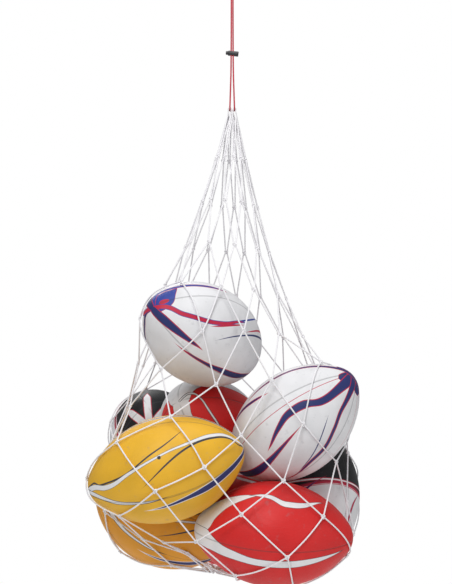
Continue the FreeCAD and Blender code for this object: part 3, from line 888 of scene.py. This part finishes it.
def make_net_knots(material, headings):
    """Each knot lies flat on the bag's outside, longer along the way that its bars run."""
    starts = np.array([place for place, _ in headings])
    ways = np.array([way for _, way in headings])
    ways *= np.sign(ways[:, 2:]) + (ways[:, 2:] == 0)
    ropes = []
    for centre in solid_middles("net_knots"):
        near = np.argsort(((starts - centre) ** 2).sum(1))[:4]
        up = ways[near].sum(0)
        up /= np.linalg.norm(up)
        out = outward(centre)
        out = out - up * out.dot(up)
        out /= np.linalg.norm(out)
        line = knot_line(centre, out, up, NET_KNOT_SIZE, NET_KNOT_STRETCH, NET_KNOT_THICKNESS)
        ropes.append(rope(line, 9, twisted(KNOT_STRAND_R, NET_KNOT_LAY), closed=True))
    finish_piece(join_ropes("net_knots_twine", ropes, material), "bag", "twine_white", "net_knots")


def outward(place):
    """Away from the nearest ball, or from the bag's middle where no ball is near."""
    gap, direction = min((ball_gap(place, ball) for ball in BALLS.values()), key=lambda pair: pair[0])
    if gap < NEAR_BALL:
        return direction
    sideways = np.array((place[0], place[1], MM))
    return sideways / np.linalg.norm(sideways)


def ball_gap(place, ball):
    centre, axis = ball
    offset = place - centre
    along = offset.dot(axis)
    radial = offset - axis * along
    out = max(np.linalg.norm(radial), 1e-9)
    nearest = np.clip(along, -0.6 * BALL_HALF, 0.6 * BALL_HALF)
    direction = offset - axis * nearest * 0.6
    return math.hypot(along / BALL_HALF * BALL_R, out) - BALL_R, direction / np.linalg.norm(direction)


def make_gather_ring(material):
    low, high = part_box("gather_ring")
    centre = np.array((low + high) / 2)
    radius = (high.x - low.x - TWINE_D) / 2
    turn = np.linspace(0, 2 * math.pi, 60, endpoint=False)[:, None]
    line = centre + radius * np.concatenate([np.cos(turn), np.sin(turn), 0 * turn], 1)
    ring = join_ropes("gather_ring_twine", [rope(line, 12, twisted(TWINE_D / 2), closed=True)], material)
    finish_piece(ring, "bag", "twine_white", "gather_ring")


def make_spring(material):
    """The lock's coil spring at rest, from the plunger's end to the blind end of the bore."""
    lock = Matrix.Translation(LOCK_CENTRE) @ Matrix.Rotation(LOCK_TILT, 4, "Y")
    coil_r = (SPRING_D - SPRING_WIRE) / 2
    low, high = SPRING_X[0] + SPRING_WIRE / 2, SPRING_X[1] - SPRING_WIRE / 2
    line = []
    for n in range(SPRING_STEPS + 1):
        share = n / SPRING_STEPS
        turn = 2 * math.pi * SPRING_TURNS * share
        place = Vector((low + (high - low) * share, coil_r * math.sin(turn), -coil_r * math.cos(turn)))
        line.append((lock @ place)[:])
    wire = rope(np.array(line), 10, lambda angle, along: (SPRING_WIRE / 2, 0.0))
    coil = join_ropes("lock_spring_coil", [wire], material)
    finish_piece(coil, "cord_lock", "spring_steel", "lock_spring")
    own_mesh(coil)


# ---------------------------------------------------------------- balls


def ball_profile():
    """(place along the axis, distance from it) at even steps over the ball's outline, tip to tip."""
    side_angle = math.atan2(TIP_REACH, SIDE_DROP)
    tip_angle = math.pi / 2 - side_angle
    tip_arc, side_arc = TIP_R * tip_angle, SIDE_R * side_angle
    points = []
    for n in range(BALL_RINGS + 1):
        run = abs(2 * n / BALL_RINGS - 1) * (tip_arc + side_arc)
        sign = math.copysign(1, n - BALL_RINGS / 2)
        if run <= side_arc:
            angle = run / SIDE_R
            points.append((sign * SIDE_R * math.sin(angle), SIDE_R * math.cos(angle) - SIDE_DROP))
        else:
            angle = tip_angle - (run - side_arc) / TIP_R
            points.append((sign * (TIP_REACH + TIP_R * math.cos(angle)), TIP_R * math.sin(angle)))
    return points


def around_ball():
    """Angles round the ball, close together at the four seams, with each angle's distance from its seam."""
    last = SEAM_STEPS[-1]
    wide = [last + (45 - last) * (n + 1) / PANEL_STEPS for n in range(PANEL_STEPS)]
    steps = [*SEAM_STEPS, *wide]
    offsets = [-step for step in reversed(steps[1:-1])] + steps
    return [
        (math.radians(45 + 90 * seam + offset), math.radians(abs(offset)))
        for seam in range(4)
        for offset in offsets
    ]


def ball_mesh():
    """The ball lies along x and its valve faces z. Panels sink into a groove at the four seams."""
    profile = ball_profile()[1:-1]
    around = around_ball()
    angles = np.array([angle for angle, _ in around])[None, :]
    off_seam = np.array([off for _, off in around])[None, :]
    x = np.array([place for place, _ in profile])[:, None]
    r = np.array([radius for _, radius in profile])[:, None]
    fade = np.clip((r - SEAM_START_R) / SEAM_FADE_RUN, 0, 1)
    seam = np.exp(-((r * off_seam / SEAM_WIDTH) ** 2)) * fade
    rise = PANEL_RISE * np.minimum(1, r * off_seam / PANEL_RISE_RUN) * fade
    radius = r - SEAM_DEPTH * seam - PANEL_RISE * fade + rise
    x = np.broadcast_to(x, radius.shape)
    points = np.stack([x, radius * np.sin(angles), radius * np.cos(angles)], -1).reshape(-1, 3)
    tips = np.array([(-BALL_HALF, 0, 0), (BALL_HALF, 0, 0)])
    points = np.concatenate([points, tips])
    rings, sides = radius.shape
    low, high = rings * sides, rings * sides + 1
    faces = [
        (n * sides + k, n * sides + (k + 1) % sides, (n + 1) * sides + (k + 1) % sides, (n + 1) * sides + k)
        for n in range(rings - 1)
        for k in range(sides)
    ]
    faces += [(low, (k + 1) % sides, k) for k in range(sides)]
    faces += [((rings - 1) * sides + k, (rings - 1) * sides + (k + 1) % sides, high) for k in range(sides)]
    piece = new_object("ball_blank", points, faces)
    values = np.concatenate([seam.reshape(-1), [0, 0]]).astype(np.float32)
    piece.data.attributes.new("seam", "FLOAT", "POINT").data.foreach_set("value", values)
    drill_valve(piece)
    return piece


def drill_valve(piece):
    middle = (0, 0, BALL_R)
    bpy.ops.mesh.primitive_cylinder_add(vertices=40, radius=VALVE_HOLE_R, depth=24 * MM, location=middle)
    drill = bpy.context.object
    modifier = piece.modifiers.new("valve_hole", "BOOLEAN")
    modifier.operation = "DIFFERENCE"
    modifier.solver = "EXACT"
    modifier.object = drill
    bpy.context.view_layer.update()
    drilled = bpy.data.meshes.new_from_object(piece.evaluated_get(bpy.context.evaluated_depsgraph_get()))
    piece.modifiers.clear()
    piece.data = drilled
    bpy.data.objects.remove(drill)
    piece.data.set_sharp_from_angle(angle=math.radians(50))
    places = [value for vertex in piece.data.vertices for value in vertex.co]
    piece.data.attributes.new("ball_place", "FLOAT_VECTOR", "POINT").data.foreach_set("vector", places)


def read_balls():
    """Each ball's centre and long axis, from its spin joint."""
    balls = {}
    for joint in frame["joints"]:
        if joint["name"].endswith("_spin"):
            axis = np.array(joint["axis"], float)
            balls[joint["child"]] = np.array(joint["pos_m"], float), axis / np.linalg.norm(axis)
    return balls


def across(direction, axis):
    direction = direction - axis * direction.dot(axis)
    return direction / np.linalg.norm(direction)


def make_balls():
    blank = ball_mesh()
    for name, (centre, axis) in BALLS.items():
        low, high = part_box(name + "_valve")
        valve = across(np.array((low + high) / 2) - centre, axis)
        left = np.cross(valve, axis)
        front = across(np.array((0, -1.0, 0)), axis)
        front_angle = math.degrees(math.atan2(front.dot(left), front.dot(valve)))
        piece = bpy.data.objects.new(name + "_skin", blank.data.copy())
        bpy.context.scene.collection.objects.link(piece)
        rotation = Matrix(np.stack([axis, left, valve], 1).tolist()).to_4x4()
        piece.data.transform(Matrix.Translation(centre) @ rotation)
        base, bands, turned, direction = PRINTS[name]
        print_place = (turned, direction, front_angle)
        material = ball_material(name + "_rubber", base, bands, *print_place, CAPS.get(name))
        piece.data.materials.clear()
        piece.data.materials.append(material)
        slots = {part["node"]: part["material_slot"] for part in frame["record"]["subparts"]}
        finish_piece(piece, name, slots[name + "_cover"], name + "_cover")
    bpy.data.objects.remove(blank)


# ---------------------------------------------------------------- CAD pieces that stay


def dress_cad_nodes():
    lock = plastic_material("lock_black", (0.018, 0.018, 0.02), 0.42, 1400.0)
    rubber = plastic_material("valve_black", (0.02, 0.02, 0.02), 0.6, 1800.0)
    bladder = plastic_material("bladder_black", (0.025, 0.024, 0.024), 0.7, 400.0)
    looks = {"lock_barrel": lock, "lock_plunger": lock}
    for name in BALLS:
        looks[name + "_valve"] = rubber
        looks[name + "_bladder"] = bladder
    for node, material in looks.items():
        mesh = frame["nodes"][node]
        if not mesh.material_slots:
            mesh.data.materials.append(material)
        for slot in mesh.material_slots:
            slot.material = material


BALLS = read_balls()
make_camera()
make_cords(twine_material("red_braid", (0.62, 0.018, 0.045), (0.30, 0.006, 0.02), 0.6, 0.5))
make_lights()
make_floor()
make_net(twine_material("white_twine", (0.95, 0.94, 0.96), (0.62, 0.60, 0.66), 0.35, 0.62))
make_balls()
make_spring(steel_material())
dress_cad_nodes()
